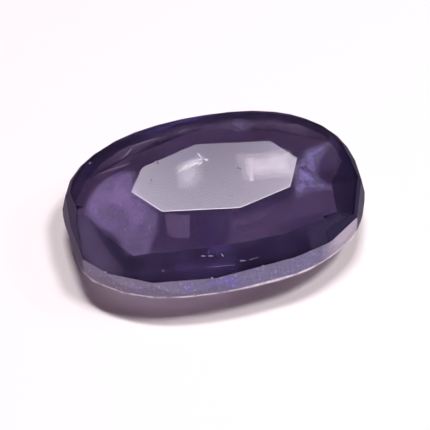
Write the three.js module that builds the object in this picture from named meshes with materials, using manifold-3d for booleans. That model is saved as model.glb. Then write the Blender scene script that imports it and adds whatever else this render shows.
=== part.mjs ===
// Oval mixed-cut iolite gemstone, millimetres, +Z up.
// It rests on its flat base facet: the origin is under the middle of the stone, at the level of that facet.
// While it is cut, z = 0 is the girdle's upper edge, the crown is above it and the pavilion below.

import * as THREE from 'three';
import { mergeVertices } from 'three/addons/utils/BufferGeometryUtils.js';
import Module from 'manifold-3d';

// Driving dimensions: heights and depths from the girdle's upper edge, in mm, and slopes from level, in degrees.
const crownHeight = 0.95;
const girdleDepth = 0.85;
const baseDepth = 2.65;
const breakSlope = 50;
const flatSlope = 77;
const rimFacets = 28;

// The rim under the girdle is flatter and wider along the near side than along the far side and at the ends.
const rimSlopeNear = 50;
const rimSlopeFar = 64;
const rimWidthSide = 0.45;
const rimWidthEnd = 0.08;

// Corners of the girdle's upper edge, anticlockwise from the right-hand end, each with how far the girdle
// flares out below it. The stone was shaped by hand: its near side has a few long flats, its far side many
// short ones, and the left shoulder is fuller than the right one.
const girdleCorners = [
  { x: 6.08, y: 0.10, flare: 0.13 },
  { x: 6.02, y: 0.92, flare: 0.08 },
  { x: 5.82, y: 1.66, flare: 0.04 },
  { x: 5.43, y: 2.38, flare: 0.04 },
  { x: 4.93, y: 2.92, flare: 0.04 },
  { x: 4.36, y: 3.36, flare: 0.04 },
  { x: 3.66, y: 3.72, flare: 0.04 },
  { x: 2.79, y: 4.04, flare: 0.04 },
  { x: 1.80, y: 4.24, flare: 0.04 },
  { x: 0.75, y: 4.34, flare: 0.04 },
  { x: -0.35, y: 4.36, flare: 0.04 },
  { x: -1.45, y: 4.30, flare: 0.04 },
  { x: -2.48, y: 4.13, flare: 0.04 },
  { x: -3.43, y: 3.83, flare: 0.04 },
  { x: -4.24, y: 3.41, flare: 0.05 },
  { x: -4.95, y: 2.86, flare: 0.07 },
  { x: -5.50, y: 2.20, flare: 0.13 },
  { x: -5.85, y: 1.42, flare: 0.19 },
  { x: -5.98, y: -0.30, flare: 0.08 },
  { x: -5.84, y: -2.08, flare: 0.03 },
  { x: -5.06, y: -3.08, flare: 0.03 },
  { x: -3.49, y: -4.01, flare: 0.04 },
  { x: -1.10, y: -4.43, flare: 0.08 },
  { x: 2.14, y: -4.25, flare: 0.20 },
  { x: 3.73, y: -3.87, flare: 0.05 },
  { x: 5.13, y: -2.92, flare: 0.03 },
  { x: 5.98, y: -1.00, flare: 0.18 },
];

// Corners of the octagonal table, anticlockwise, each with the slope of the crown main that starts there
// and runs along the table's edge to the next corner.
const tableCorners = [
  { x: 3.51, y: 0.03, slope: 15.5 },
  { x: 2.74, y: 1.25, slope: 13.5 },
  { x: -0.26, y: 1.89, slope: 13.5 },
  { x: -2.66, y: 1.20, slope: 15.1 },
  { x: -3.37, y: 0.04, slope: 16.7 },
  { x: -2.45, y: -1.33, slope: 13.2 },
  { x: 0.55, y: -1.97, slope: 14.9 },
  { x: 2.77, y: -1.42, slope: 16.7 },
];

// Corners of the flat facet that the stone rests on, anticlockwise from the right-hand end.
const baseCorners = [
  [4.75, 0.45], [3.60, 1.45], [0.20, 1.85], [-3.20, 1.95], [-4.75, 1.45],
  [-4.15, 0.10], [-3.40, -1.10], [0.10, -1.55], [2.40, -1.52], [4.50, -1.15],
];

// Small chips in the edges: where each is and its radius.
const chips = [
  { at: [-5.14, -2.97, 0.00], radius: 0.15 },
  { at: [-5.76, 1.62, 0.02], radius: 0.13 },
  { at: [-1.36, -4.40, 0.02], radius: 0.15 },
  { at: [0.82, -4.33, 0.00], radius: 0.11 },
  { at: [3.73, -3.87, 0.00], radius: 0.14 },
  { at: [-2.02, 1.38, 0.97], radius: 0.12 },
  { at: [0.34, -1.92, 0.97], radius: 0.09 },
  { at: [-3.03, -3.80, 0.34], radius: 0.10 },
  { at: [-4.60, -2.78, 0.40], radius: 0.09 },
];
const chipTurn = 0.9;

const lapSize = 40;
const wallSteps = 4;

const wasm = await Module();
wasm.setup();

// A closed geometry as a solid that can be cut.
function solidOf(geometry) {
  const bare = geometry.clone();
  bare.deleteAttribute('normal');
  bare.deleteAttribute('uv');
  const merged = mergeVertices(bare, 1e-5);
  const mesh = new wasm.Mesh({
    numProp: 3,
    vertProperties: new Float32Array(merged.attributes.position.array),
    triVerts: new Uint32Array(merged.index.array),
  });
  mesh.merge();
  return new wasm.Manifold(mesh);
}

// The solid as a geometry with flat facets.
function geometryOf(solid) {
  const mesh = solid.getMesh();
  const geometry = new THREE.BufferGeometry();
  geometry.setAttribute('position', new THREE.BufferAttribute(new Float32Array(mesh.vertProperties), 3));
  geometry.setIndex(new THREE.BufferAttribute(new Uint32Array(mesh.triVerts), 1));
  return geometry;
}

// Grinds one flat facet: takes away all of the stone that lies beyond the plane through a point.
function grind(stone, normal, point) {
  const lap = new THREE.BoxGeometry(lapSize, lapSize, lapSize);
  lap.translate(0, 0, lapSize / 2);
  const turn = new THREE.Quaternion().setFromUnitVectors(new THREE.Vector3(0, 0, 1), normal);
  lap.applyQuaternion(turn);
  lap.translate(point.x, point.y, point.z);
  return stone.subtract(solidOf(lap));
}

// The unit normal of a facet that leans out level with a flat direction, by its slope. up is 1 on the crown
// and -1 on the pavilion.
function facetNormal(outward, slope, up) {
  const angle = THREE.MathUtils.degToRad(slope);
  const level = Math.sin(angle);
  return new THREE.Vector3(outward.x * level, outward.y * level, up * Math.cos(angle));
}

// The outward direction, in plan, of the edge from one corner to the next of an anticlockwise outline.
function edgeOutward(start, end) {
  return new THREE.Vector2(end.y - start.y, start.x - end.x).normalize();
}

// Each edge of an anticlockwise outline: its two ends and its outward direction.
function edgesOf(corners) {
  return corners.map((start, i) => {
    const end = corners[(i + 1) % corners.length];
    return { start, end, outward: edgeOutward(start, end) };
  });
}

// The outline of the girdle below its upper edge: a smooth closed curve, flared out from the corners.
const outlineCurve = new THREE.CatmullRomCurve3(
  girdleCorners.map((corner) => {
    const stretch = 1 + corner.flare / Math.hypot(corner.x, corner.y);
    return new THREE.Vector3(corner.x * stretch, corner.y * stretch, 0);
  }), true, 'centripetal');
const outlinePoints = outlineCurve.getPoints(girdleCorners.length * wallSteps)
  .slice(0, -1)
  .map((point) => new THREE.Vector2(point.x, point.y));

// How far the outline reaches in a direction.
function reach(outward) {
  return Math.max(...outlinePoints.map((point) => point.dot(outward)));
}

// The slope of the rim under the girdle on the side of the stone that faces outward.
function rimSlopeAt(outward) {
  const turn = THREE.MathUtils.smoothstep(outward.y, -0.95, -0.3);
  return THREE.MathUtils.lerp(rimSlopeNear, rimSlopeFar, turn);
}

// The width of the rim, in plan, on that side.
function rimWidthAt(outward) {
  return THREE.MathUtils.lerp(rimWidthSide, rimWidthEnd, outward.x ** 2);
}

// The rough blank, as tall as the finished stone.
function makeBlank() {
  const height = crownHeight + baseDepth;
  const blank = new THREE.ExtrudeGeometry(new THREE.Shape(outlinePoints), { depth: height, bevelEnabled: false });
  blank.translate(0, 0, -baseDepth);
  return solidOf(blank);
}

// The girdle's upper edge: under each edge a steep ground flat, and over it a narrow polished break facet.
function grindGirdleEdge(stone) {
  for (const edge of edgesOf(girdleCorners)) {
    const point = new THREE.Vector3(edge.start.x, edge.start.y, 0);
    stone = grind(stone, facetNormal(edge.outward, flatSlope, 1), point);
    stone = grind(stone, facetNormal(edge.outward, breakSlope, 1), point);
  }
  return stone;
}

// The eight crown mains, from the table's edges down to the break facets.
function grindCrownMains(stone) {
  for (const edge of edgesOf(tableCorners)) {
    const point = new THREE.Vector3(edge.start.x, edge.start.y, crownHeight);
    stone = grind(stone, facetNormal(edge.outward, edge.start.slope, 1), point);
  }
  return stone;
}

// The row of narrow facets under the girdle, evenly spaced along the outline.
function grindPavilionRim(stone) {
  for (let i = 0; i < rimFacets; i += 1) {
    const place = (i + 0.5) / rimFacets;
    const point = outlineCurve.getPointAt(place);
    const tangent = outlineCurve.getTangentAt(place);
    const outward = new THREE.Vector2(tangent.y, -tangent.x);
    point.z = -girdleDepth;
    stone = grind(stone, facetNormal(outward, rimSlopeAt(outward), -1), point);
  }
  return stone;
}

// The wide facets between the rim and the base. Each starts at an edge of the base, and its slope takes it
// to the lower edge of the rim.
function grindPavilionMains(stone) {
  const base = baseCorners.map(([x, y]) => new THREE.Vector2(x, y));
  for (const edge of edgesOf(base)) {
    const rimWidth = rimWidthAt(edge.outward);
    const rimDrop = rimWidth * Math.tan(THREE.MathUtils.degToRad(rimSlopeAt(edge.outward)));
    const rise = baseDepth - girdleDepth - rimDrop;
    const run = reach(edge.outward) - rimWidth - edge.start.dot(edge.outward);
    const slope = THREE.MathUtils.radToDeg(Math.atan2(rise, run));
    const point = new THREE.Vector3(edge.start.x, edge.start.y, -baseDepth);
    stone = grind(stone, facetNormal(edge.outward, slope, -1), point);
  }
  return stone;
}

// The chips in its edges, each a small angular bite.
function breakChips(stone) {
  chips.forEach((chip, i) => {
    const bite = new THREE.IcosahedronGeometry(chip.radius, 0);
    bite.rotateX(chipTurn * i);
    bite.rotateY(chipTurn * i * 2);
    bite.translate(...chip.at);
    stone = stone.subtract(solidOf(bite));
  });
  return stone;
}

// Cuts the stone and stands it on its base, with the origin under its middle.
function cutStone() {
  let stone = makeBlank();
  stone = grindGirdleEdge(stone);
  stone = grindCrownMains(stone);
  stone = grindPavilionRim(stone);
  stone = grindPavilionMains(stone);
  stone = breakChips(stone);
  const geometry = geometryOf(stone);
  geometry.computeBoundingBox();
  const middle = geometry.boundingBox.getCenter(new THREE.Vector3());
  geometry.translate(-middle.x, -middle.y, -geometry.boundingBox.min.z);
  const faceted = geometry.toNonIndexed();
  faceted.computeVertexNormals();
  return faceted;
}

const iolite = new THREE.MeshStandardMaterial({ color: 0x4a3f6b, roughness: 0.05, metalness: 0 });

const gemstone = new THREE.Group();
const stone = new THREE.Mesh(cutStone(), iolite);
stone.name = 'iolite_gemstone';
gemstone.add(stone);

export default gemstone;
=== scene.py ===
import math

import bpy
import numpy as np
from mathutils import Matrix, Vector


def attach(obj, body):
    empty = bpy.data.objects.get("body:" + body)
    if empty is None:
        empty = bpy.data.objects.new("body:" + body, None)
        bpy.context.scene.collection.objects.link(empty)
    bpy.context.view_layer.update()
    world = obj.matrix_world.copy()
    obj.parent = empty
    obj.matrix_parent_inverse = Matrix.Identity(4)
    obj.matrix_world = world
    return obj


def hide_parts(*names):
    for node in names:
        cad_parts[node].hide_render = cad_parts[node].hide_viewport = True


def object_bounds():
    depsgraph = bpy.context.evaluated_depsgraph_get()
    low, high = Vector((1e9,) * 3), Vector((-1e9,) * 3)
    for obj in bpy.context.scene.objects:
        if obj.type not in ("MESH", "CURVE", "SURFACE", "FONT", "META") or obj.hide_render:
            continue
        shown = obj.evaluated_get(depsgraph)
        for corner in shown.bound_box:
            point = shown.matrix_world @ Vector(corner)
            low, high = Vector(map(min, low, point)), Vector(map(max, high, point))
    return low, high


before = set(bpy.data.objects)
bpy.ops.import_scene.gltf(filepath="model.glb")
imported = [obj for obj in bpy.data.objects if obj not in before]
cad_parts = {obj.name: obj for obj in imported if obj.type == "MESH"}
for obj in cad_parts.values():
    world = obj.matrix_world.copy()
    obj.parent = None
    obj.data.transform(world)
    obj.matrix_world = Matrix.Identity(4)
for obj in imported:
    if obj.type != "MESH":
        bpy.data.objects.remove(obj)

cadLow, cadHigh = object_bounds()
mm = 0.001
aboveStone = (0, 0, 5 * mm)    # added to a place before a ray looks straight down for the stone's surface
print("frame loaded:", [round((b - a) / mm, 2) for a, b in zip(cadLow, cadHigh)], "mm")


# Node tree helpers

def startTree(name, inputs):
    tree = bpy.data.node_groups.new(name, "GeometryNodeTree")
    tree.interface.new_socket("Geometry", in_out="INPUT", socket_type="NodeSocketGeometry")
    for label, (kind, value) in inputs.items():
        socket = tree.interface.new_socket(label, in_out="INPUT", socket_type=kind)
        if value is not None:
            socket.default_value = value
    tree.interface.new_socket("Geometry", in_out="OUTPUT", socket_type="NodeSocketGeometry")
    return tree, tree.nodes.new("NodeGroupInput"), tree.nodes.new("NodeGroupOutput")


def plug(tree, value, socket):
    if isinstance(value, bpy.types.NodeSocket):
        tree.links.new(value, socket)
    else:
        socket.default_value = value


def addNode(tree, kind, values=None, **settings):
    node = tree.nodes.new(kind)
    for key, value in settings.items():
        setattr(node, key, value)
    for key, value in (values or {}).items():
        plug(tree, value, node.inputs[key])
    return node


def maths(tree, operation, a, b=0.0, c=0.0):
    return addNode(tree, "ShaderNodeMath", {0: a, 1: b, 2: c}, operation=operation).outputs[0]


def vectors(tree, operation, a, b=None, scale=None):
    node = addNode(tree, "ShaderNodeVectorMath", {0: a}, operation=operation)
    if b is not None:
        plug(tree, b, node.inputs[1])
    if scale is not None:
        plug(tree, scale, node.inputs["Scale"])
    return node.outputs["Value" if operation in ("DOT_PRODUCT", "DISTANCE") else "Vector"]


def ramp(tree, value, low, high, start=0.0, end=1.0):
    node = addNode(tree, "ShaderNodeMapRange", {
        "Value": value, "From Min": low, "From Max": high, "To Min": start, "To Max": end})
    return node.outputs["Result"]


def noise(tree, place, scale, detail=3.0):
    return addNode(tree, "ShaderNodeTexNoise", {
        "Vector": place, "Scale": scale, "Detail": detail, "Roughness": 0.6}).outputs[0]


def attribute(tree, name):
    return addNode(tree, "GeometryNodeInputNamedAttribute", {"Name": name}, data_type="FLOAT").outputs[0]


def castRay(tree, shape, source, direction):
    return addNode(tree, "GeometryNodeRaycast", {
        "Target Geometry": shape, "Source Position": source, "Ray Direction": direction, "Ray Length": 1.0})


def randomValue(tree, low, high, seed, kind="FLOAT"):
    node = addNode(tree, "FunctionNodeRandomValue", {"Seed": seed}, data_type=kind)
    lowest = 0 if kind == "FLOAT_VECTOR" else 2
    plug(tree, low, node.inputs[lowest])
    plug(tree, high, node.inputs[lowest + 1])
    return node.outputs[0 if kind == "FLOAT_VECTOR" else 1]


def finishTree(tree, end, geometry, material):
    real = addNode(tree, "GeometryNodeRealizeInstances", {"Geometry": geometry})
    made = addNode(tree, "GeometryNodeSetMaterial", {"Geometry": real.outputs[0], "Material": material})
    tree.links.new(made.outputs[0], end.inputs["Geometry"])


def growWithNodes(piece, tree, values):
    modifier = piece.modifiers.new(tree.name, "NODES")
    modifier.node_group = tree
    sockets = {s.name: s.identifier for s in tree.interface.items_tree if s.in_out == "INPUT"}
    for label, value in values.items():
        modifier[sockets[label]] = value


def meltModifiers(piece):
    depsgraph = bpy.context.evaluated_depsgraph_get()
    plain = bpy.data.meshes.new_from_object(piece.evaluated_get(depsgraph))
    piece.modifiers.clear()
    piece.data = plain
    return piece


def newPiece(name, mesh):
    piece = bpy.data.objects.new(name, mesh)
    bpy.context.scene.collection.objects.link(piece)
    return piece


# Shader helpers

def startMaterial(name, colour, roughness):
    material = bpy.data.materials.new(name)
    material.use_nodes = True
    shader = material.node_tree.nodes["Principled BSDF"]
    shader.inputs["Base Color"].default_value = colour
    shader.inputs["Roughness"].default_value = roughness
    return material, material.node_tree, shader


def mixColour(tree, factor, a, b):
    node = addNode(tree, "ShaderNodeMix", data_type="RGBA")
    for index, value in ((0, factor), (6, a), (7, b)):
        plug(tree, value, node.inputs[index])
    return node.outputs[2]


# The stone: recut from the imported stone's own facet planes, with worn edges that carry a painted highlight

stone = {
    "weld": 0.001 * mm,
    "bevel": 0.020 * mm,
    "wornAbove": 1.78 * mm,    # only the table's near edges are worn and painted pale as a highlight, this high over the middle of the stone
    "wornBefore": 0.0,
    "wearAndHighlight": (0.9, 0.2),        # it fades from the first to the second along the table's edge, to the right
    "wearX": (0.8 * mm, 3.0 * mm),
    "smallestFacet": 1e-10,    # twice the area of its largest triangle, in square metres
    "sameFacet": 0.4,          # degrees between planes that are one facet
    "onPlane": 0.006 * mm,
    "groundBelow": 0.3,        # a facet whose normal's height is under this is ground, not polished
    "breakHeight": 0.643,      # height of the normals of the break facets; they are ground too at the ends
    "breakWithin": 0.08,
    "endOver": 0.42,
    "refraction": 1.545,
    "absorbed": (540.0, 640.0, 505.0),      # how strongly red, green and blue are absorbed, per metre
    "densest": 750.0,
}


def facetFeet(node, middle):
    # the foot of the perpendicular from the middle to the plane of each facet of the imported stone
    mesh = node.data
    mesh.calc_loop_triangles()
    points = np.array([v.co for v in mesh.vertices], float) - np.array(middle)
    corners = points[np.array([t.vertices for t in mesh.loop_triangles])]
    normals = np.cross(corners[:, 1] - corners[:, 0], corners[:, 2] - corners[:, 0])
    areas = np.linalg.norm(normals, axis=1)
    kept = []
    for i in np.argsort(-areas):
        if areas[i] < stone["smallestFacet"]:
            break
        normal = normals[i] / areas[i]
        distance = corners[i, 0] @ normal
        if (points @ normal).max() > distance + stone["onPlane"]:
            continue
        if all(normal @ other < math.cos(math.radians(stone["sameFacet"])) for other, _ in kept):
            kept.append((normal, distance))
    print("facets read:", len(kept))
    return [normal * distance for normal, distance in kept]


def cutStoneTree():
    tree, start, end = startTree("cutStone", {
        "Weld": ("NodeSocketFloat", stone["weld"]),
        "Ground below": ("NodeSocketFloat", stone["groundBelow"]),
        "Break height": ("NodeSocketFloat", stone["breakHeight"]),
        "End over": ("NodeSocketFloat", stone["endOver"]),
        "Worn above": ("NodeSocketFloat", stone["wornAbove"]),
        "Worn before": ("NodeSocketFloat", stone["wornBefore"]),
        "Polished": ("NodeSocketMaterial", None),
        "Ground": ("NodeSocketMaterial", None),
    })
    # a plane's foot f becomes the point f / |f|^2: the hull of those points has a face for each corner
    position = addNode(tree, "GeometryNodeInputPosition").outputs[0]
    square = vectors(tree, "DOT_PRODUCT", position, position)
    inverse = vectors(tree, "SCALE", position, scale=maths(tree, "DIVIDE", 1.0, square))
    duals = addNode(tree, "GeometryNodeSetPosition", {
        "Geometry": start.outputs["Geometry"], "Position": inverse})
    hull = addNode(tree, "GeometryNodeConvexHull", {"Geometry": duals.outputs["Geometry"]})
    normal = addNode(tree, "GeometryNodeInputNormal").outputs[0]
    away = vectors(tree, "DOT_PRODUCT", normal, position)
    cornerPoint = vectors(tree, "SCALE", normal, scale=maths(tree, "DIVIDE", 1.0, away))
    capture = tree.nodes.new("GeometryNodeCaptureAttribute")
    capture.domain = "FACE"
    capture.capture_items.new("VECTOR", "Corner")
    tree.links.new(hull.outputs["Convex Hull"], capture.inputs["Geometry"])
    tree.links.new(cornerPoint, capture.inputs["Corner"])
    dual = addNode(tree, "GeometryNodeDualMesh", {"Mesh": capture.outputs["Geometry"]})
    placed = addNode(tree, "GeometryNodeSetPosition", {
        "Geometry": dual.outputs[0], "Position": capture.outputs["Corner"]})
    welded = addNode(tree, "GeometryNodeMergeByDistance", {
        "Geometry": placed.outputs["Geometry"], "Distance": start.outputs["Weld"]})
    # ground facets, and the table's worn edges, whose bevel is painted pale as a highlight
    facing = addNode(tree, "ShaderNodeSeparateXYZ", {0: normal})
    upright = maths(tree, "ABSOLUTE", facing.outputs["Z"])
    wall = maths(tree, "LESS_THAN", upright, start.outputs["Ground below"])
    breakHeight = start.outputs["Break height"]
    sloping = maths(tree, "COMPARE", facing.outputs["Z"], breakHeight, stone["breakWithin"])
    sideways = maths(tree, "ABSOLUTE", facing.outputs["X"])
    atEnd = maths(tree, "GREATER_THAN", sideways, start.outputs["End over"])
    ground = maths(tree, "MAXIMUM", wall, maths(tree, "MULTIPLY", sloping, atEnd))
    marked = addNode(tree, "GeometryNodeStoreNamedAttribute", {
        "Geometry": welded.outputs["Geometry"], "Name": "ground", "Value": ground},
        data_type="FLOAT", domain="FACE")
    groundHere = attribute(tree, "ground")
    at = addNode(tree, "ShaderNodeSeparateXYZ", {0: position})
    onTable = maths(tree, "GREATER_THAN", at.outputs["Z"], start.outputs["Worn above"])
    nearSide = maths(tree, "LESS_THAN", at.outputs["Y"], start.outputs["Worn before"])
    wearAndHighlight = ramp(tree, at.outputs["X"], *stone["wearX"], *stone["wearAndHighlight"])
    wornLit = maths(tree, "MULTIPLY", maths(tree, "MULTIPLY", onTable, nearSide), wearAndHighlight)
    weighted = addNode(tree, "GeometryNodeStoreNamedAttribute", {
        "Geometry": marked.outputs["Geometry"], "Name": "bevel_weight_edge", "Value": wornLit},
        data_type="FLOAT", domain="EDGE")
    solid = addNode(tree, "GeometryNodeRealizeInstances", {"Geometry": weighted.outputs["Geometry"]})
    clear = addNode(tree, "GeometryNodeSetMaterial", {
        "Geometry": solid.outputs[0], "Material": start.outputs["Polished"]})
    both = addNode(tree, "GeometryNodeSetMaterial", {
        "Geometry": clear.outputs[0], "Selection": maths(tree, "GREATER_THAN", groundHere, 0.5),
        "Material": start.outputs["Ground"]})
    tree.links.new(both.outputs[0], end.inputs["Geometry"])
    return tree


def ioliteMaterial():
    material, tree, shader = startMaterial("iolite", (1, 1, 1, 1), 0.0)
    shader.inputs["IOR"].default_value = stone["refraction"]
    shader.inputs["Transmission Weight"].default_value = 1.0
    densest = stone["densest"]
    colour = [1 - share / densest for share in stone["absorbed"]]
    volume = addNode(tree, "ShaderNodeVolumeAbsorption", {"Color": (*colour, 1), "Density": densest})
    tree.links.new(volume.outputs[0], tree.nodes["Material Output"].inputs["Volume"])
    return material


# The ground band round the girdle: frosted, paler on the near right flat, with painted shade at the ends and
# painted violet glows.
# A pair of numbers is where a colour begins and where it is full: places in mm, or levels of the noise.

band = {
    "roughness": 0.5, "specular": 0.02, "relief": 0.02 * mm, "reliefShare": 0.4,
    "dark": (0.185, 0.165, 0.285, 1), "light": (0.245, 0.225, 0.365, 1),
    "grainScale": 8.0, "grainDetail": 5.0, "grain": (0.32, 0.68),
    "warm": (0.400, 0.320, 0.420, 1), "warmX": (-1.0, -4.5), "warmShare": 0.35,
    # painted glow: violet light from inside the stone, drawn into the band's colour
    "glowColour": (0.200, 0.150, 0.640, 1), "glowGrain": (0.35, 0.55),
    "glows": [((-2.25, -4.10, 2.28), 0.34, 0.75), ((-1.25, -4.32, 2.36), 0.30, 0.8),
              ((-0.85, -4.30, 2.42), 0.26, 0.8), ((-0.55, -4.38, 2.25), 0.40, 0.8),
              ((-4.10, -3.60, 2.2), 0.4, 0.25)],      # centre, radius and strength
    "paleFlat": (0.490, 0.435, 0.530, 1), "flatX": (3.2, 4.0), "flatY": (-2.7, -2.9),
    "flatGrain": (0.1, 0.42),
    "speckColour": (0.600, 0.560, 0.680, 1), "speckScale": 10.0, "specks": (0.64, 0.74), "speckShare": 0.7,
    # painted shade: the band drawn dark at its two ends
    "rightEndShade": (0.060, 0.047, 0.090, 1), "rightX": (4.9, 5.1), "rightY": (-2.9, -2.8),
    "leftEndShade": (0.105, 0.080, 0.145, 1), "leftX": (-4.9, -5.1), "leftY": (-2.05, -1.95),
    # the pale line along the lower edge is wear with a painted highlight
    "lineColour": (0.900, 0.800, 0.900, 1), "lineZ": (1.90, 1.84), "lineY": (-1.5, -3.0),
    "lineScale": 1.6, "lineGaps": (0.30, 0.50),
    # painted shade: the break facets at the ends drawn dark
    "leftBreakShade": (0.060, 0.046, 0.092, 1), "rightBreakShade": (0.026, 0.021, 0.052, 1),
    "breakUpward": (0.35, 0.4),      # here heights of the normal
}


def groundMaterial():
    material, tree, shader = startMaterial("ioliteGround", band["light"], band["roughness"])
    shader.inputs["Specular IOR Level"].default_value = band["specular"]
    own = addNode(tree, "ShaderNodeTexCoord").outputs["Object"]
    place = vectors(tree, "SCALE", own, scale=1 / mm)
    x, y, z = addNode(tree, "ShaderNodeSeparateXYZ", {0: place}).outputs
    grain = noise(tree, place, band["grainScale"], band["grainDetail"])
    colour = mixColour(tree, ramp(tree, grain, *band["grain"]), band["dark"], band["light"])
    colour = mixColour(tree, ramp(tree, x, *band["warmX"], 0.0, band["warmShare"]), colour, band["warm"])
    # painted glow where light from inside comes through the band
    for centre, radius, strength in band["glows"]:
        away = vectors(tree, "DISTANCE", place, centre)
        glow = ramp(tree, away, radius, 0.0, 0.0, strength)
        glow = maths(tree, "MULTIPLY", glow, ramp(tree, grain, *band["glowGrain"]))
        colour = mixColour(tree, glow, colour, band["glowColour"])
    flat = maths(tree, "MULTIPLY", ramp(tree, x, *band["flatX"]), ramp(tree, y, *band["flatY"]))
    flat = maths(tree, "MULTIPLY", flat, ramp(tree, grain, *band["flatGrain"]))
    colour = mixColour(tree, flat, colour, band["paleFlat"])
    specks = noise(tree, place, band["speckScale"], 1.0)
    specks = ramp(tree, specks, *band["specks"], 0.0, band["speckShare"])
    colour = mixColour(tree, specks, colour, band["speckColour"])
    # painted shade: the ends of the band are drawn dark
    right = maths(tree, "MULTIPLY", ramp(tree, x, *band["rightX"]), ramp(tree, y, *band["rightY"]))
    colour = mixColour(tree, right, colour, band["rightEndShade"])
    left = maths(tree, "MULTIPLY", ramp(tree, x, *band["leftX"]), ramp(tree, y, *band["leftY"]))
    colour = mixColour(tree, left, colour, band["leftEndShade"])
    # a painted highlight along the worn lower edge, broken here and there
    wearAndHighlight = ramp(tree, noise(tree, place, band["lineScale"]), *band["lineGaps"])
    wearAndHighlight = maths(tree, "MULTIPLY", wearAndHighlight, ramp(tree, y, *band["lineY"]))
    line = maths(tree, "MULTIPLY", ramp(tree, z, *band["lineZ"]), wearAndHighlight)
    colour = mixColour(tree, line, colour, band["lineColour"])
    # the break facets at the ends, drawn dark as painted shade
    facing = addNode(tree, "ShaderNodeNewGeometry").outputs["True Normal"]
    upward = addNode(tree, "ShaderNodeSeparateXYZ", {0: facing}).outputs["Z"]
    broken = mixColour(tree, maths(tree, "GREATER_THAN", x, 0.0), band["leftBreakShade"], band["rightBreakShade"])
    colour = mixColour(tree, ramp(tree, upward, *band["breakUpward"]), colour, broken)
    plug(tree, colour, shader.inputs["Base Color"])
    relief = addNode(tree, "ShaderNodeBump", {
        "Strength": band["reliefShare"], "Distance": band["relief"], "Height": grain})
    plug(tree, relief.outputs[0], shader.inputs["Normal"])
    return material


clearIolite = ioliteMaterial()
groundIolite = groundMaterial()
# pale worn edges and scratches; on the table's edge bevel the pale colour is also a painted highlight
wornAndHighlightIolite = startMaterial("ioliteWornAndHighlight", (0.76, 0.70, 0.83, 1), 0.4)[0]
# white for the feather's painted glints
glintIolite = startMaterial("ioliteGlint", (0.97, 0.98, 1.0, 1), 0.3)[0]
chipIolite = startMaterial("ioliteChip", (0.42, 0.37, 0.52, 1), 0.5)[0]
# the dark inside of a pit is painted shade
pitShadeIolite = startMaterial("iolitePitShade", (0.10, 0.085, 0.14, 1), 0.3)[0]


# Chips and pits, in mm: where, how wide, and whether it is broken open and pale; a pit's hollow is painted
# dark as painted shade

bites = [
    ((-5.205, -2.893, 2.65), 0.060, True), ((-5.825, 1.697, 2.67), 0.045, True),
    ((-1.300, -4.335, 2.68), 0.060, True), ((-1.480, -4.320, 2.66), 0.035, True),
    ((0.755, -4.253, 2.65), 0.035, True), ((3.665, -3.793, 2.65), 0.050, True),
    ((-2.085, 1.457, 3.60), 0.060, True), ((-2.040, 1.350, 3.60), 0.040, False),
    ((0.170, -1.980, 3.57), 0.028, True), ((0.310, -1.930, 3.58), 0.024, True),
    ((-3.095, -3.723, 2.99), 0.030, True), ((-4.665, -2.703, 3.05), 0.030, True),
    ((-4.610, 2.730, 2.96), 0.050, True), ((0.750, 2.230, 3.48), 0.040, True),
    ((-2.530, 0.510, 3.60), 0.038, False), ((-2.620, 0.310, 3.60), 0.030, False),
    ((1.000, 0.200, 3.60), 0.045, False), ((1.090, 0.110, 3.60), 0.038, False),
    ((0.350, -1.210, 3.60), 0.045, False),
]
breakage = {
    "seed": 5,
    "narrowest": (0.6, 0.6, 0.6), "widest": (1.3, 1.3, 1.3),
    "turned": (6.28, 6.28, 6.28),
}


def makeCutters():
    mesh = bpy.data.meshes.new("bites")
    mesh.from_pydata([tuple(c * mm for c in at) for at, _, _ in bites], [], [])
    sizes = mesh.attributes.new("size", "FLOAT", "POINT")
    pale = mesh.attributes.new("pale", "FLOAT", "POINT")
    for i, (_, radius, broken) in enumerate(bites):
        sizes.data[i].value = radius * mm
        pale.data[i].value = float(broken)
    piece = newPiece("bites", mesh)
    tree, start, end = startTree("breakBites", {
        "Seed": ("NodeSocketInt", breakage["seed"]),
        "Broken": ("NodeSocketMaterial", None),
        "Shaded pit": ("NodeSocketMaterial", None),
    })
    seed = start.outputs["Seed"]
    ball = addNode(tree, "GeometryNodeMeshIcoSphere", {"Radius": 1.0, "Subdivisions": 1})
    squash = randomValue(tree, breakage["narrowest"], breakage["widest"], seed, "FLOAT_VECTOR")
    turn = randomValue(tree, (0, 0, 0), breakage["turned"], seed, "FLOAT_VECTOR")
    scaled = vectors(tree, "SCALE", squash, scale=attribute(tree, "size"))
    spots = addNode(tree, "GeometryNodeInstanceOnPoints", {
        "Points": start.outputs["Geometry"], "Instance": ball.outputs[0], "Rotation": turn, "Scale": scaled})
    real = addNode(tree, "GeometryNodeRealizeInstances", {"Geometry": spots.outputs[0]})
    pits = addNode(tree, "GeometryNodeSetMaterial", {
        "Geometry": real.outputs[0], "Material": start.outputs["Shaded pit"]})
    broken = addNode(tree, "GeometryNodeSetMaterial", {
        "Geometry": pits.outputs[0], "Selection": maths(tree, "GREATER_THAN", attribute(tree, "pale"), 0.5),
        "Material": start.outputs["Broken"]})
    tree.links.new(broken.outputs[0], end.inputs["Geometry"])
    growWithNodes(piece, tree, {"Broken": chipIolite, "Shaded pit": pitShadeIolite})
    return meltModifiers(piece)


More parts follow.
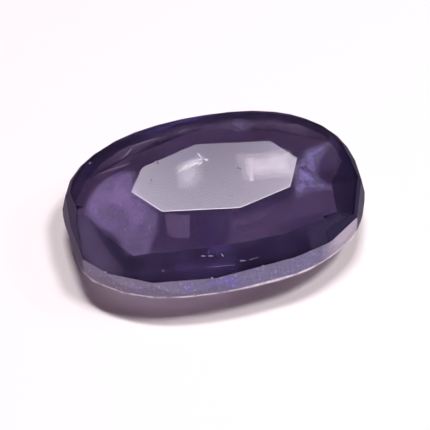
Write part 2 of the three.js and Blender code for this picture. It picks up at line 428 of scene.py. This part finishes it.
def makeStone():
    middle = (cadLow + cadHigh) / 2
    feet = facetFeet(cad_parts["iolite_gemstone"], middle)
    mesh = bpy.data.meshes.new("cutGem")
    mesh.from_pydata([tuple(f) for f in feet], [], [])
    piece = newPiece("cut_gem", mesh)
    growWithNodes(piece, cutStoneTree(), {"Polished": clearIolite, "Ground": groundIolite})
    meltModifiers(piece)
    piece.data.materials.append(wornAndHighlightIolite)
    # the table's near edges get a pale bevel: wear, with a painted highlight
    bevel = piece.modifiers.new("wornHighlightEdges", "BEVEL")
    bevel.width = stone["bevel"]
    bevel.segments = 1
    bevel.material = len(piece.data.materials) - 1
    bevel.use_clamp_overlap = False
    bevel.limit_method = "WEIGHT"
    bevel.harden_normals = False
    meltModifiers(piece)
    piece.data.transform(Matrix.Translation(middle))
    cutters = makeCutters()
    bite = piece.modifiers.new("bites", "BOOLEAN")
    bite.object = cutters
    bite.operation = "DIFFERENCE"
    bite.solver = "EXACT"
    bite.material_mode = "TRANSFER"
    meltModifiers(piece)
    bpy.data.objects.remove(cutters)
    return piece


gem = makeStone()
print("stone cut:", len(gem.data.vertices), "corners,", len(gem.data.polygons), "faces,",
      [m.name for m in gem.data.materials])
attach(gem, "root")
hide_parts("iolite_gemstone")


# Scratches, and white strokes on the surface that are painted glints of the feather, in mm: each a line in
# plan and its half width

scratches = [
    ([(-4.28, 1.85), (-3.71, 1.78), (-3.07, 1.80)], 0.0025),
    ([(-3.39, 2.27), (-3.14, 2.44), (-2.80, 2.83)], 0.007),
    ([(-2.60, 2.98), (-2.24, 3.05), (-1.98, 3.09), (-1.72, 3.13)], 0.006),
    ([(-0.78, 3.09), (-0.36, 3.22)], 0.005),
    ([(0.28, -4.04), (0.62, -4.01)], 0.004),
    ([(-1.53, -3.51), (-1.38, -3.55)], 0.014),
    ([(-1.26, -3.58), (-1.08, -3.63)], 0.012),
    ([(-0.75, -3.62), (-0.70, -3.76)], 0.016),
    ([(-0.11, -4.03), (0.12, -4.05)], 0.010),
    ([(-1.39, -4.01), (-1.05, -4.08), (-0.34, -4.10)], 0.003),
]
# painted glints: white strokes on the surface where the feather inside flashes
featherGlints = [
    ([(-0.36, 1.42), (-0.31, 1.28), (-0.24, 1.14)], 0.022),
    ([(-0.20, 1.03), (-0.06, 0.94)], 0.042),
    ([(-1.38, 0.64), (-1.18, 0.72), (-1.00, 0.79)], 0.032),
    ([(-1.16, 0.84), (-0.92, 0.90), (-0.66, 0.99)], 0.016),
    ([(-0.94, 0.78), (-0.70, 0.86), (-0.44, 0.95)], 0.040),
    ([(-0.70, 1.03), (-0.46, 1.09), (-0.25, 1.08)], 0.022),
    ([(-0.52, 0.80), (-0.34, 0.90)], 0.026),
    ([(-1.12, 0.68), (-0.85, 0.73)], 0.012),
]
scratch = {
    "drawnAt": 3 * mm,         # the height of the lines before they are laid on the stone
    "step": 0.04 * mm,
    "wander": 0.05 * mm, "wanderScale": 2.5 / mm,
    "unevenScale": 6 / mm, "thinnest": 0.25, "thickest": 1.3,
    "sides": 6,
}


def scratchTree():
    tree, start, end = startTree("drawScratches", {
        "Step": ("NodeSocketFloat", scratch["step"]),
        "Wander": ("NodeSocketFloat", scratch["wander"]),
        "Stone": ("NodeSocketObject", None),
        "Material": ("NodeSocketMaterial", None),
    })
    curve = addNode(tree, "GeometryNodeMeshToCurve", {"Mesh": start.outputs["Geometry"]})
    fine = addNode(tree, "GeometryNodeResampleCurve", {
        "Curve": curve.outputs[0], "Length": start.outputs["Step"]}, mode="LENGTH")
    position = addNode(tree, "GeometryNodeInputPosition").outputs[0]
    shape = addNode(tree, "GeometryNodeObjectInfo", {"Object": start.outputs["Stone"]})
    wander = addNode(tree, "ShaderNodeTexNoise", {
        "Vector": position, "Scale": scratch["wanderScale"], "Detail": 3.0})
    aside = vectors(tree, "SUBTRACT", wander.outputs["Color"], (0.5, 0.5, 0.5))
    aside = vectors(tree, "SCALE", aside, scale=start.outputs["Wander"])
    above = vectors(tree, "ADD", vectors(tree, "ADD", position, aside), aboveStone)
    ray = castRay(tree, shape.outputs["Geometry"], above, (0, 0, -1))
    laid = addNode(tree, "GeometryNodeSetPosition", {
        "Geometry": fine.outputs[0], "Position": ray.outputs["Hit Position"]})
    uneven = noise(tree, vectors(tree, "SCALE", position, scale=scratch["unevenScale"]), 1.0)
    uneven = ramp(tree, uneven, 0.3, 0.7, scratch["thinnest"], scratch["thickest"])
    profile = addNode(tree, "GeometryNodeCurvePrimitiveCircle", {
        "Resolution": scratch["sides"], "Radius": 1.0})
    tube = addNode(tree, "GeometryNodeCurveToMesh", {
        "Curve": laid.outputs[0], "Profile Curve": profile.outputs[0],
        "Scale": maths(tree, "MULTIPLY", attribute(tree, "width"), uneven), "Fill Caps": True})
    finishTree(tree, end, tube.outputs[0], start.outputs["Material"])
    return tree


def drawLines(name, lines, material):
    points, edges, widths = [], [], []
    for line, width in lines:
        for i, (x, y) in enumerate(line):
            if i:
                edges.append((len(points) - 1, len(points)))
            points.append((x * mm, y * mm, scratch["drawnAt"]))
            widths.append(width * mm)
    mesh = bpy.data.meshes.new(name)
    mesh.from_pydata(points, edges, [])
    mesh.attributes.new("width", "FLOAT", "POINT").data.foreach_set("value", widths)
    piece = newPiece(name, mesh)
    growWithNodes(piece, scratchTree(), {"Stone": gem, "Material": material})
    meltModifiers(piece)
    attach(piece, "root")
    print(name, len(piece.data.polygons), "faces")


drawLines("scratches", scratches, wornAndHighlightIolite)
drawLines("feather_sparks", featherGlints, glintIolite)


# Milky veils: thin sheets at a depth under the crown, sown with droplets; lengths in mm. "milk" is the most
# that a sheet hides, "least" the share of that between its wisps, "cover" the share of its area sown with
# droplets, "patch" the size of the wisps and "soft" the width of the border where it fades.
# The droplets' seeds follow the order here. The zones tinted with ink are painted shade, dark sheets where
# the stone only looks darker, and the table sheets are painted reflections.

veils = {
    "left_cloud": {
        "depth": 0.25, "milk": 0.50, "cover": 0.04, "patch": 1.7, "soft": 0.40, "tint": "pale",
        "outline": [(-5.55, 0.16), (-5.35, 0.80), (-4.69, 1.45), (-3.98, 1.78), (-3.20, 1.75), (-2.70, 1.30),
                    (-2.95, 0.36), (-2.64, -0.47), (-2.37, -1.20), (-2.70, -2.05), (-3.21, -2.72),
                    (-3.84, -2.94), (-4.35, -2.50), (-4.70, -1.46), (-5.18, -0.87), (-5.50, -0.35)]},
    "left_cloud_front": {
        "depth": 0.18, "milk": 0.40, "least": 0.15, "cover": 0.03,
        "patch": 0.9, "soft": 0.60, "tint": "pale",
        "outline": [(-5.50, 0.16), (-5.30, 0.75), (-4.69, 1.40), (-3.98, 1.70), (-3.70, 1.20), (-4.10, 0.50),
                    (-4.20, -0.40), (-4.55, -1.30), (-5.18, -0.87), (-5.45, -0.35)]},
    "square_patch": {
        "depth": 0.30, "milk": 0.24, "cover": 0.02, "patch": 1.4, "soft": 0.10, "tint": "mauve",
        "outline": [(-2.46, -1.16), (-1.39, -1.44), (-1.69, -2.58), (-2.39, -2.34), (-2.63, -2.14)]},
    "centre_blue": {
        "depth": 0.40, "milk": 0.21, "cover": 0.03, "patch": 0.8, "soft": 0.40, "tint": "violet",
        "outline": [(-1.18, -1.39), (-0.51, -1.66), (-0.51, -2.83), (-0.61, -3.62), (-1.39, -3.56),
                    (-1.34, -2.61)]},
    "mauve_right": {
        "depth": 0.35, "milk": 0.19, "least": 0.10, "cover": 0.03,
        "patch": 0.7, "soft": 0.25, "tint": "mauve",
        "outline": [(-0.07, -1.82), (1.41, -1.77), (2.95, -1.45), (2.85, -2.45), (2.20, -3.05),
                    (0.97, -3.28), (0.07, -3.37), (-0.45, -3.19)]},
    "right_block": {
        "depth": 0.35, "milk": 0.12, "cover": 0.02, "patch": 0.9, "soft": 0.15, "tint": "mauve",
        "outline": [(2.54, -1.70), (3.15, -1.14), (4.04, -0.75), (4.62, -1.07), (4.30, -2.57), (3.48, -2.59),
                    (2.73, -2.59), (2.37, -2.30)]},
    "right_cloud": {
        "depth": 0.30, "milk": 0.84, "least": 0.05, "cover": 0.03,
        "patch": 0.7, "soft": 0.50, "tint": "blue",
        "outline": [(2.65, -1.30), (3.05, 0.05), (3.85, 0.95), (4.87, 1.25), (5.20, 0.80), (4.60, 0.05),
                    (4.35, -0.70), (4.75, -1.50), (3.59, -1.70), (2.80, -1.90)]},
    "right_cloud_far": {
        "depth": 0.22, "milk": 0.62, "least": 0.05, "cover": 0.03,
        "patch": 0.6, "soft": 0.40, "tint": "blue",
        "outline": [(3.40, 0.10), (4.00, 0.95), (4.90, 1.35), (5.70, 2.00), (5.60, 1.10), (4.90, 0.30),
                    (4.00, -0.30)]},
    # painted shade: a dark sheet along the far rim
    "far_rim_zone": {
        "depth": 0.12, "milk": 0.26, "cover": 0.0, "patch": 3.0, "soft": 0.20, "tint": "shade_ink",
        "outline": [(-5.90, 1.50), (-5.56, 2.28), (-5.01, 2.94), (-4.30, 3.49), (-3.50, 3.90), (-2.54, 4.20),
                    (-1.50, 4.38), (-0.40, 4.43), (0.70, 4.40), (1.74, 4.30), (2.72, 4.10), (3.60, 3.80),
                    (4.30, 3.40), (4.87, 3.00), (5.37, 2.45), (5.75, 1.70), (5.95, 1.00), (5.60, 0.90),
                    (5.42, 1.60), (5.05, 2.22), (4.48, 2.82), (3.70, 3.27), (2.76, 3.60), (1.70, 3.80),
                    (0.70, 3.90), (-0.40, 3.94), (-1.50, 3.92), (-2.54, 3.80), (-3.48, 3.54), (-4.24, 3.16),
                    (-4.90, 2.62), (-5.50, 1.70)]},
    # painted shade: a dark sheet at the right end
    "right_zone": {
        "depth": 0.12, "milk": 0.62, "cover": 0.0, "patch": 3.0, "soft": 0.30, "tint": "shade_ink",
        "outline": [(5.20, 0.90), (6.40, 0.80), (6.40, -1.00), (6.10, -2.35), (5.40, -2.90), (4.40, -2.80),
                    (4.30, -2.20), (4.55, -1.60), (4.80, -0.60)]},
    # painted shade: a dark sheet in the near band
    "near_zone": {
        "depth": 0.12, "milk": 0.50, "cover": 0.0, "patch": 3.0, "soft": 0.30, "tint": "shade_ink",
        "outline": [(-0.40, -3.45), (2.50, -3.20), (3.80, -2.80), (4.40, -3.50), (2.80, -4.40),
                    (-0.30, -4.60)]},
    "near_violet": {
        "depth": 0.10, "milk": 0.12, "least": 0.15, "cover": 0.0,
        "patch": 0.6, "soft": 0.45, "tint": "violet",
        "outline": [(-2.90, -3.20), (-0.10, -3.65), (0.10, -4.45), (-1.20, -4.50), (-3.00, -4.10)]},
    "right_corner_haze": {
        "depth": 0.10, "milk": 0.09, "cover": 0.0, "patch": 2.0, "soft": 0.20, "tint": "blue",
        "outline": [(2.70, -3.20), (4.40, -2.60), (5.40, -3.10), (3.90, -4.40), (2.60, -4.50)]},
    "purple_blob": {
        "depth": 0.20, "milk": 0.22, "cover": 0.0, "patch": 0.5, "soft": 0.20, "tint": "violet",
        "outline": [(-1.10, -3.00), (-0.28, -3.12), (-0.22, -3.62), (-1.02, -3.62)]},
    "left_end_haze": {
        "depth": 0.10, "milk": 0.14, "cover": 0.0, "patch": 2.0, "soft": 0.20, "tint": "pale",
        "outline": [(-6.40, 0.70), (-6.40, -1.23), (-6.20, -2.40), (-5.50, -3.30), (-4.30, -3.20),
                    (-4.80, -1.76), (-5.10, -0.70), (-5.35, 0.30)]},
    "top_cloud": {
        "depth": 0.20, "milk": 0.50, "cover": 0.02, "patch": 0.5, "soft": 0.30, "tint": "blue",
        "outline": [(1.22, 3.47), (2.07, 3.71), (2.50, 2.91), (2.16, 2.19), (1.37, 2.44)]},
    "edge_glow": {
        "depth": 0.40, "milk": 0.22, "cover": 0.02, "patch": 0.5, "soft": 0.30, "tint": "blue",
        "outline": [(-1.97, 3.05), (-1.43, 2.97), (-1.25, 2.48), (-1.42, 2.09), (-1.93, 2.09)]},
    "far_crown_haze": {
        "depth": 0.09, "milk": 0.13, "cover": 0.0, "patch": 1.6, "soft": 0.40, "tint": "pale",
        "outline": [(-4.00, 2.95), (-2.95, 3.40), (-1.80, 3.70), (-0.40, 3.85), (1.80, 3.70), (3.40, 3.25),
                    (4.60, 2.60), (5.00, 1.90), (4.30, 1.50), (2.90, 2.10), (1.70, 2.40), (-0.40, 2.80),
                    (-1.70, 2.70), (-2.70, 2.20), (-3.60, 1.95), (-4.40, 2.25)]},
    "rim_glow": {
        "depth": 0.10, "milk": 0.40, "cover": 0.0, "patch": 0.7, "soft": 0.25, "tint": "violet",
        "outline": [(-2.30, 3.75), (-0.50, 4.15), (0.60, 4.15), (0.40, 3.70), (-0.60, 3.65), (-2.10, 3.40)]},
    "streak": {
        "depth": 0.10, "milk": 0.40, "cover": 0.04, "patch": 0.6, "soft": 0.09, "tint": "mauve",
        "outline": [(-4.33, 1.80), (-3.07, 1.73), (-3.03, 1.92), (-4.28, 1.99)]},
    "feather": {
        "depth": 0.10, "milk": 0.90, "cover": 0.30, "patch": 0.30, "soft": 0.34, "tint": "ice",
        "outline": [(-1.58, 0.92), (-1.30, 1.22), (-0.74, 1.40), (-0.10, 1.42), (0.05, 1.01), (-0.58, 0.58),
                    (-1.50, 0.38)]},
    # painted reflection: a pale bar seen in the table
    "table_bar": {
        "depth": 0.11, "milk": 0.36, "cover": 0.0, "patch": 2.5, "soft": 0.09, "tint": "rose",
        "outline": [(1.56, 1.00), (1.88, 0.86), (1.47, -0.72), (1.15, -0.62)]},
    # painted reflection: a pale glow seen in the table
    "table_glow": {
        "depth": 0.13, "milk": 0.72, "cover": 0.0, "patch": 2.5, "soft": 0.70, "tint": "rose",
        "outline": [(0.95, 1.30), (3.80, 0.95), (3.40, -1.10), (0.75, -0.65)]},
    # painted reflection: the paler left part of the table
    "table_left": {
        "depth": 0.12, "milk": 0.40, "cover": 0.0, "patch": 1.6, "soft": 0.55, "tint": "white",
        "outline": [(-1.75, 0.95), (-0.10, 1.45), (-0.15, 0.30), (-0.75, -0.60), (-1.85, -0.35)]},
    "haze": {
        "depth": 0.14, "milk": 0.12, "cover": 0.0, "patch": 2.6, "soft": 0.12, "tint": "indigo",
        "outline": [(-6.0, -4.4), (6.0, -4.4), (6.0, 4.4), (-6.0, 4.4)]},
}
tints = {
    "pale": (0.66, 0.50, 0.90, 1),
    "mauve": (0.68, 0.46, 0.84, 1),
    "blue": (0.52, 0.47, 0.86, 1),
    "violet": (0.30, 0.20, 0.95, 1),
    "white": (0.92, 0.90, 0.96, 1),
    "rose": (0.94, 0.87, 0.94, 1),
    "ice": (0.88, 0.90, 1.00, 1),
    "indigo": (0.46, 0.37, 0.92, 1),
    # the dark of the painted shade sheets
    "shade_ink": (0.020, 0.016, 0.060, 1),
}
droplet = {
    "smallest": 0.008 * mm, "largest": 0.020 * mm, "roughness": 0.5,
    "skin": 0.04 * mm,         # sheets and middles of droplets keep this far under and over the surface
    "thick": 0.10 * mm,        # droplets lie up to this far over or under their veil
    "clumpScale": 1.6, "clumps": (0.38, 0.60),
    "chanceSeed": 17, "jitterSeed": 29, "sizeSeed": 31,
}
sheet = {
    "drawnAt": 2 * mm,         # the height of an outline before the sheet is draped
    "levels": 5,
    "wholly": 0.99,            # a face goes when more than this share of its corners lies beyond the stone
    "drawnIn": (0.986, 0.986, 1.0),      # times the nearest place on the stone's wall
    "fringeScale": 3.0, "fringeShare": 0.5, "fullAt": 0.9,
    "wispScale": 1.6, "wisps": (0.30, 0.66), "least": 0.40,
}


def startVeil(name, inputs):
    tree, start, end = startTree(name, {
        "Depth": ("NodeSocketFloat", 0.2 * mm),
        "Soft edge": ("NodeSocketFloat", 0.1 * mm),
        "Patch": ("NodeSocketFloat", 1.0 * mm),
        "Stone": ("NodeSocketObject", None),
        "Material": ("NodeSocketMaterial", None),
        **inputs})
    position = addNode(tree, "GeometryNodeInputPosition").outputs[0]
    shape = addNode(tree, "GeometryNodeObjectInfo", {"Object": start.outputs["Stone"]}).outputs["Geometry"]
    inPatches = vectors(tree, "SCALE", position, scale=maths(tree, "DIVIDE", 1.0, start.outputs["Patch"]))
    # how far inside the veil's outline, with a wandering border
    rim = addNode(tree, "GeometryNodeProximity", {
        "Geometry": start.outputs["Geometry"], "Sample Position": position}, target_element="EDGES")
    fringe = noise(tree, inPatches, sheet["fringeScale"], 4.0)
    fringe = maths(tree, "MULTIPLY", fringe, start.outputs["Soft edge"])
    fringe = maths(tree, "MULTIPLY", fringe, sheet["fringeShare"])
    inner = maths(tree, "SUBTRACT", rim.outputs["Distance"], fringe)
    fade = ramp(tree, maths(tree, "DIVIDE", inner, start.outputs["Soft edge"]), 0.0, sheet["fullAt"])
    # and where it lies when it is draped under the surface
    down = castRay(tree, shape, vectors(tree, "ADD", position, aboveStone), (0, 0, -1))
    sunk = addNode(tree, "ShaderNodeCombineXYZ", {
        "Z": maths(tree, "MULTIPLY", start.outputs["Depth"], -1.0)}).outputs[0]
    under = vectors(tree, "ADD", down.outputs["Hit Position"], sunk)
    return tree, start, end, {"position": position, "shape": shape, "inPatches": inPatches, "fade": fade,
                              "hit": down.outputs["Is Hit"], "under": under}


def outsideStone(tree, position, shape, skin):
    outside = 0.0
    for way in (1, -1):
        ray = castRay(tree, shape, position, (0, 0, way))
        near = maths(tree, "LESS_THAN", ray.outputs["Hit Distance"], skin)
        missed = maths(tree, "SUBTRACT", 1.0, ray.outputs["Is Hit"])
        outside = maths(tree, "MAXIMUM", outside, maths(tree, "MAXIMUM", near, missed))
    return outside


def sheetTree():
    tree, start, end, at = startVeil("milkySheet", {"Levels": ("NodeSocketInt", sheet["levels"])})
    fine = addNode(tree, "GeometryNodeSubdivideMesh", {
        "Mesh": start.outputs["Geometry"], "Level": start.outputs["Levels"]})
    faded = addNode(tree, "GeometryNodeStoreNamedAttribute", {
        "Geometry": fine.outputs[0], "Name": "edge", "Value": at["fade"]}, data_type="FLOAT", domain="POINT")
    # faces wholly beyond the stone's outline go, and the other corners out there are drawn in to it
    missed = maths(tree, "SUBTRACT", 1.0, at["hit"])
    share = addNode(tree, "GeometryNodeFieldOnDomain", {"Value": missed}, data_type="FLOAT", domain="POINT")
    beyond = maths(tree, "GREATER_THAN", share.outputs[0], sheet["wholly"])
    off = addNode(tree, "GeometryNodeDeleteGeometry", {
        "Geometry": faded.outputs[0], "Selection": beyond}, domain="FACE")
    wall = addNode(tree, "GeometryNodeProximity", {
        "Geometry": at["shape"], "Sample Position": at["position"]}, target_element="FACES")
    drawnIn = addNode(tree, "GeometryNodeSetPosition", {
        "Geometry": off.outputs[0], "Selection": missed,
        "Position": vectors(tree, "MULTIPLY", wall.outputs["Position"], sheet["drawnIn"])})
    draped = addNode(tree, "GeometryNodeSetPosition", {
        "Geometry": drawnIn.outputs[0], "Position": at["under"]})
    outside = outsideStone(tree, at["position"], at["shape"], droplet["skin"])
    inside = addNode(tree, "GeometryNodeDeleteGeometry", {
        "Geometry": draped.outputs[0], "Selection": outside}, domain="POINT")
    smooth = addNode(tree, "GeometryNodeSetShadeSmooth", {"Geometry": inside.outputs[0]})
    finishTree(tree, end, smooth.outputs[0], start.outputs["Material"])
    return tree


def dropletTree():
    tree, start, end, at = startVeil("sowDroplets", {
        "Density": ("NodeSocketFloat", 1.0),
        "Seed": ("NodeSocketInt", 1),
        "Thickness": ("NodeSocketFloat", droplet["thick"]),
        "Smallest": ("NodeSocketFloat", droplet["smallest"]),
        "Largest": ("NodeSocketFloat", droplet["largest"]),
        "Skin": ("NodeSocketFloat", droplet["skin"]),
    })
    seed = start.outputs["Seed"]
    sown = addNode(tree, "GeometryNodeDistributePointsOnFaces", {
        "Mesh": start.outputs["Geometry"], "Density": start.outputs["Density"], "Seed": seed})
    dense = ramp(tree, noise(tree, at["inPatches"], droplet["clumpScale"], 4.0), *droplet["clumps"])
    chance = randomValue(tree, 0.0, 1.0, maths(tree, "ADD", seed, droplet["chanceSeed"]))
    lost = maths(tree, "GREATER_THAN", chance, maths(tree, "MULTIPLY", dense, at["fade"]))
    thinned = addNode(tree, "GeometryNodeDeleteGeometry", {
        "Geometry": sown.outputs["Points"], "Selection": lost}, domain="POINT")
    draped = addNode(tree, "GeometryNodeSetPosition", {
        "Geometry": thinned.outputs[0], "Position": at["under"]})
    jitterSeed = maths(tree, "ADD", seed, droplet["jitterSeed"])
    jitter = randomValue(tree, (0, 0, -1), (0, 0, 1), jitterSeed, "FLOAT_VECTOR")
    offset = vectors(tree, "SCALE", jitter, scale=start.outputs["Thickness"])
    spread = addNode(tree, "GeometryNodeSetPosition", {"Geometry": draped.outputs[0], "Offset": offset})
    outside = outsideStone(tree, at["position"], at["shape"], start.outputs["Skin"])
    kept = addNode(tree, "GeometryNodeDeleteGeometry", {
        "Geometry": spread.outputs[0], "Selection": outside}, domain="POINT")
    ball = addNode(tree, "GeometryNodeMeshIcoSphere", {"Radius": 1.0, "Subdivisions": 1})
    sizeSeed = maths(tree, "ADD", seed, droplet["sizeSeed"])
    size = randomValue(tree, start.outputs["Smallest"], start.outputs["Largest"], sizeSeed)
    drops = addNode(tree, "GeometryNodeInstanceOnPoints", {
        "Points": kept.outputs[0], "Instance": ball.outputs[0], "Scale": size})
    finishTree(tree, end, drops.outputs[0], start.outputs["Material"])
    return tree


def milkMaterial(name, veil):
    material, tree, shader = startMaterial("milk_" + name, tints[veil["tint"]], 1.0)
    shader.inputs["Specular IOR Level"].default_value = 0.0
    own = addNode(tree, "ShaderNodeTexCoord").outputs["Object"]
    place = vectors(tree, "SCALE", own, scale=1 / (mm * veil["patch"]))
    wisps = noise(tree, place, sheet["wispScale"], 5.0)
    wisps = ramp(tree, wisps, *sheet["wisps"], veil.get("least", sheet["least"]), 1.0)
    edge = addNode(tree, "ShaderNodeAttribute", attribute_name="edge").outputs["Fac"]
    milk = maths(tree, "MULTIPLY", maths(tree, "MULTIPLY", wisps, edge), veil["milk"])
    plug(tree, milk, shader.inputs["Alpha"])
    return material


def dropletMaterial(tint):
    # one for each tint, shared by the veils that have it
    name = "droplets_" + tint
    return bpy.data.materials.get(name) or startMaterial(name, tints[tint], droplet["roughness"])[0]


def growFromOutline(name, outline, tree, values):
    corners = [(x * mm, y * mm, sheet["drawnAt"]) for x, y in outline]
    mesh = bpy.data.meshes.new(name)
    mesh.from_pydata(corners, [], [tuple(range(len(corners)))])
    piece = newPiece(name, mesh)
    growWithNodes(piece, tree, values)
    meltModifiers(piece)
    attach(piece, "root")
    print(name, len(piece.data.polygons), "faces")


def growVeils():
    sheets, drops = sheetTree(), dropletTree()
    dropArea = math.pi * ((droplet["smallest"] + droplet["largest"]) / 2) ** 2
    for index, (name, veil) in enumerate(veils.items()):
        shared = {
            "Depth": veil["depth"] * mm,
            "Soft edge": veil["soft"] * mm,
            "Patch": veil["patch"] * mm,
            "Stone": gem,
        }
        growFromOutline(name + "_veil", veil["outline"], sheets, {
            **shared, "Material": milkMaterial(name, veil)})
        if veil["cover"]:
            growFromOutline(name + "_droplets", veil["outline"], drops, {
                **shared, "Material": dropletMaterial(veil["tint"]),
                "Seed": index + 1, "Density": veil["cover"] / dropArea})


growVeils()


# Floor

tabletop = {
    "half": 2.0,
    "below": 0.005 * mm,       # so that the stone's base facet doesn't share its plane
    "colour": (0.92, 0.855, 0.86, 1), "roughness": 0.8, "specular": 0.2,
}


def layFloor():
    half = tabletop["half"]
    corners = [(-half, -half, 0), (half, -half, 0), (half, half, 0), (-half, half, 0)]
    mesh = bpy.data.meshes.new("floor")
    mesh.from_pydata(corners, [], [(0, 1, 2, 3)])
    mesh.transform(Matrix.Translation((0, 0, -tabletop["below"])))
    paper, _, shader = startMaterial("paper", tabletop["colour"], tabletop["roughness"])
    shader.inputs["Specular IOR Level"].default_value = tabletop["specular"]
    mesh.materials.append(paper)
    floor = newPiece("floor", mesh)
    print("floor laid:", 2 * half, "m wide")


layFloor()


# Camera

view = {
    "azimuth": -14.2, "elevation": 47.0, "roll": -1.18, "distance": 60 * mm,
    "pixelsPerMm": 24.638, "centre": (213.72, 191.51), "frame": 430,
    "target": Vector((-0.065 * mm, 0.077 * mm, 2.65 * mm)),
    "sensor": 36, "nearest": 0.001, "farthest": 10,
}


def makeCamera():
    azimuth, elevation, roll = [math.radians(view[k]) for k in ("azimuth", "elevation", "roll")]
    level = math.cos(elevation)
    back = Vector((math.sin(azimuth) * level, -math.cos(azimuth) * level, math.sin(elevation)))
    side = Vector((math.cos(azimuth), math.sin(azimuth), 0))
    up = back.cross(side)
    right = math.cos(roll) * side + math.sin(roll) * up
    up = -math.sin(roll) * side + math.cos(roll) * up
    focal = view["pixelsPerMm"] * view["distance"] / mm
    offX = (view["centre"][0] - view["frame"] / 2) / focal
    offY = (view["frame"] / 2 - view["centre"][1]) / focal
    camera = bpy.data.cameras.new("photo_camera")
    camera.sensor_width = view["sensor"]
    camera.lens = focal / view["frame"] * camera.sensor_width
    camera.clip_start = view["nearest"]
    camera.clip_end = view["farthest"]
    holder = bpy.data.objects.new("photo_camera", camera)
    bpy.context.scene.collection.objects.link(holder)
    aim = Matrix((right, up, back)).transposed().to_4x4()
    turn = Matrix.Rotation(-math.atan(offY), 4, "X") @ Matrix.Rotation(math.atan(offX), 4, "Y")
    holder.matrix_world = Matrix.Translation(view["target"] + back * view["distance"]) @ aim @ turn
    bpy.context.scene.camera = holder
    return back


towardsCamera = makeCamera()
print("camera placed:", round(view["distance"] / mm), "mm from the stone")


# Light

lamps = {
    "table_light": {"towards": "mirror", "distance": 0.25, "width": 0.09, "height": 0.07, "radiance": 5.6,
                    "colour": (1.0, 0.92, 1.07), "upwards": 2.7, "rightwards": -0.25, "sidewards": 9.5,
                    "least": 0.3},
    "overhead_light": {"towards": (-0.02, -0.03, 1.0), "distance": 0.3, "width": 0.074, "height": 0.026,
                       "radiance": 96.0, "colour": (1, 0.98, 1)},
    "right_light": {"towards": (0.32, -0.30, 1.0), "distance": 0.3, "width": 0.056, "height": 0.045,
                    "radiance": 59.0, "colour": (1, 0.98, 1)},
    "far_right_light": {"towards": (0.90, -0.30, 1.0), "distance": 0.3, "width": 0.087, "height": 0.065,
                        "radiance": 4.0, "colour": (1, 0.98, 1)},
}
onlyMirrored = ("table_light",)          # lights nothing, and shows only as a reflection
neverMirrored = ("overhead_light",)      # lights the scene, and shows in no reflection
room = {
    "colour": (1.0, 0.34, 0.55, 1), "walls": 0.05, "ceiling": 0.05, "wallTop": 0.10, "ceilingFrom": 0.22,
    "insideColour": (1.0, 0.90, 0.98, 1), "inside": 0.90,
}


def shadeLamp(light, lamp):
    # the lamp is brighter towards its top and its sides
    light.use_nodes = True
    tree = light.node_tree
    place = addNode(tree, "ShaderNodeNewGeometry").outputs["Parametric"]
    across, up, _ = addNode(tree, "ShaderNodeSeparateXYZ", {0: place}).outputs
    aside = maths(tree, "SUBTRACT", across, 0.5)
    glow = maths(tree, "MULTIPLY_ADD", maths(tree, "SUBTRACT", up, 0.5), lamp["upwards"], 1.0)
    glow = maths(tree, "MULTIPLY_ADD", aside, lamp["rightwards"], glow)
    glow = maths(tree, "MULTIPLY_ADD", maths(tree, "MULTIPLY", aside, aside), lamp["sidewards"], glow)
    glow = maths(tree, "MAXIMUM", glow, lamp["least"])
    tree.links.new(glow, tree.nodes["Emission"].inputs["Strength"])


def softbox(name, lamp):
    mirror = Vector((-towardsCamera.x, -towardsCamera.y, towardsCamera.z))
    towards = mirror if lamp["towards"] == "mirror" else Vector(lamp["towards"]).normalized()
    light = bpy.data.lights.new(name, "AREA")
    light.shape = "RECTANGLE"
    light.size = lamp["width"]
    light.size_y = lamp["height"]
    light.energy = lamp["radiance"] * lamp["width"] * lamp["height"] * math.pi
    light.color = lamp["colour"]
    if "upwards" in lamp:
        shadeLamp(light, lamp)
    holder = bpy.data.objects.new(name, light)
    bpy.context.scene.collection.objects.link(holder)
    holder.location = view["target"] + towards * lamp["distance"]
    holder.rotation_mode = "QUATERNION"
    holder.rotation_quaternion = towards.to_track_quat("Z", "Y")
    holder.visible_diffuse = name not in onlyMirrored
    holder.visible_transmission = name not in onlyMirrored
    holder.visible_glossy = name not in neverMirrored


def lightRoom():
    world = bpy.data.worlds.new("room")
    world.use_nodes = True
    tree = world.node_tree
    # walls and ceiling are equally dim here, but one plain number makes a slightly different picture
    towards = addNode(tree, "ShaderNodeTexCoord").outputs["Generated"]
    height = addNode(tree, "ShaderNodeSeparateXYZ", {0: towards}).outputs["Z"]
    fade = ramp(tree, height, room["wallTop"], room["ceilingFrom"], room["walls"], room["ceiling"])
    dim = tree.nodes["Background"]
    dim.inputs["Color"].default_value = room["colour"]
    tree.links.new(fade, dim.inputs["Strength"])
    # rays that come through the stone see a brighter fill, and the camera sees white paper
    last = dim.outputs[0]
    path = addNode(tree, "ShaderNodeLightPath")
    for ray, colour, strength in (("Is Transmission Ray", room["insideColour"], room["inside"]),
                                  ("Is Camera Ray", (1, 1, 1, 1), 1.0)):
        glow = addNode(tree, "ShaderNodeBackground", {"Color": colour, "Strength": strength})
        mix = addNode(tree, "ShaderNodeMixShader", {0: path.outputs[ray], 1: last, 2: glow.outputs[0]})
        last = mix.outputs[0]
    tree.links.new(last, tree.nodes["World Output"].inputs["Surface"])
    bpy.context.scene.world = world


for lampName, lampValues in lamps.items():
    softbox(lampName, lampValues)
lightRoom()
print("lamps placed:", ", ".join(lamps))
bpy.context.scene.view_settings.view_transform = "Standard"
